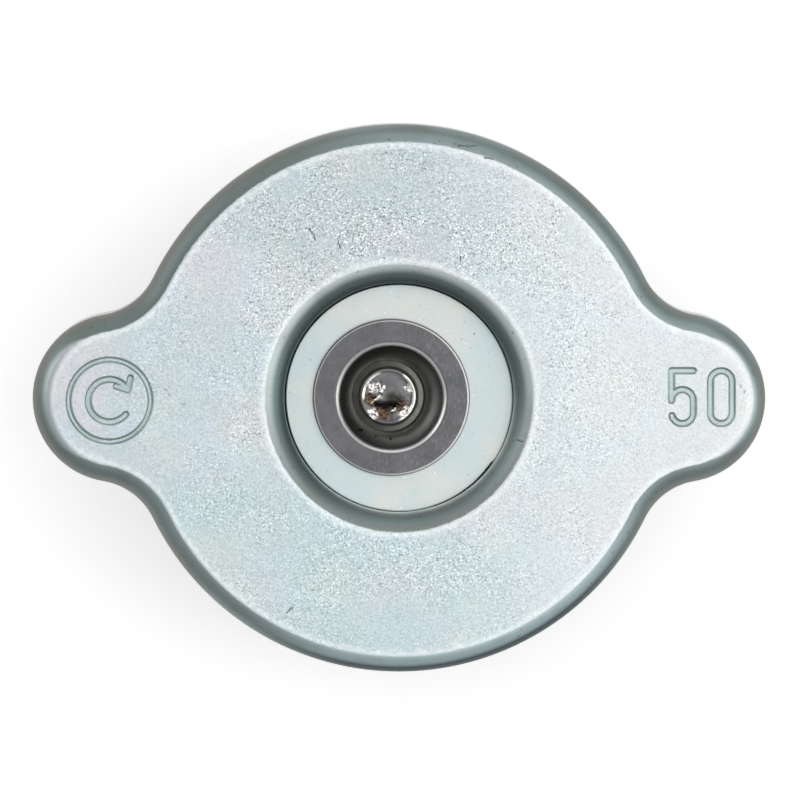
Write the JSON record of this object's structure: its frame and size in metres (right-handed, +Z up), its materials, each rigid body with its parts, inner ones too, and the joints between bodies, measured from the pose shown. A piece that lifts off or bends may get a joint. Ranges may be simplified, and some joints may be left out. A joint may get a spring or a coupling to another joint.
{
  "type": "radiator cap",
  "caption": "Two-eared pressed-steel radiator pressure cap with a swivelling spring-loaded pressure valve, a vacuum valve and turned-in locking lugs.",
  "frame": {"origin": "on the shell's axis, level with the sealing land of the pressure gasket, on which the cap stands", "axes": "+X along the two ears, +Y towards one locking lug, +Z up out of the cap's top face"},
  "size_m": [0.0642, 0.048, 0.0264],
  "materials": {
    "shell_zinc": "satin",
    "washer_zinc": "satin",
    "bush_steel": "satin",
    "rivet_steel": "polished",
    "stainless": "satin",
    "spring_steel": "satin",
    "valve_brass": "satin",
    "seal_rubber": "matte"
  },
  "bodies": {
    "shell": {"cap_shell": "shell_zinc", "recess_washer": "washer_zinc"},
    "valve_carrier": {"swivel_bush": "bush_steel", "rivet": "rivet_steel", "friction_washer": "spring_steel", "diaphragm": "stainless", "upper_gasket": "seal_rubber", "bell_housing": "stainless", "pressure_spring": "spring_steel"},
    "pressure_valve": {"spring_seat": "stainless", "valve_plate": "stainless", "pressure_gasket": "seal_rubber", "vacuum_spring": "spring_steel"},
    "vacuum_valve": {"vacuum_disc": "valve_brass", "vacuum_stem": "valve_brass", "stem_clip": "valve_brass"}
  },
  "joints": [
    {"name": "cap_swivel", "type": "hinge", "parent": "shell", "child": "valve_carrier", "pos_m": [-0.00068, 0, 0.0213], "axis": [0, 0, 1], "continuous": true},
    {"name": "pressure_lift", "type": "slide", "parent": "valve_carrier", "child": "pressure_valve", "axis": [0, 0, 1], "range_m": [0, 0.0025], "stiffness_N_per_m": 2800, "springref_m": -0.0088, "deforming": ["pressure_spring"]},
    {"name": "vacuum_opening", "type": "slide", "parent": "pressure_valve", "child": "vacuum_valve", "axis": [0, 0, -1], "range_m": [0, 0.0018], "stiffness_N_per_m": 530, "springref_m": -0.001, "deforming": ["vacuum_spring"]}
  ]
}
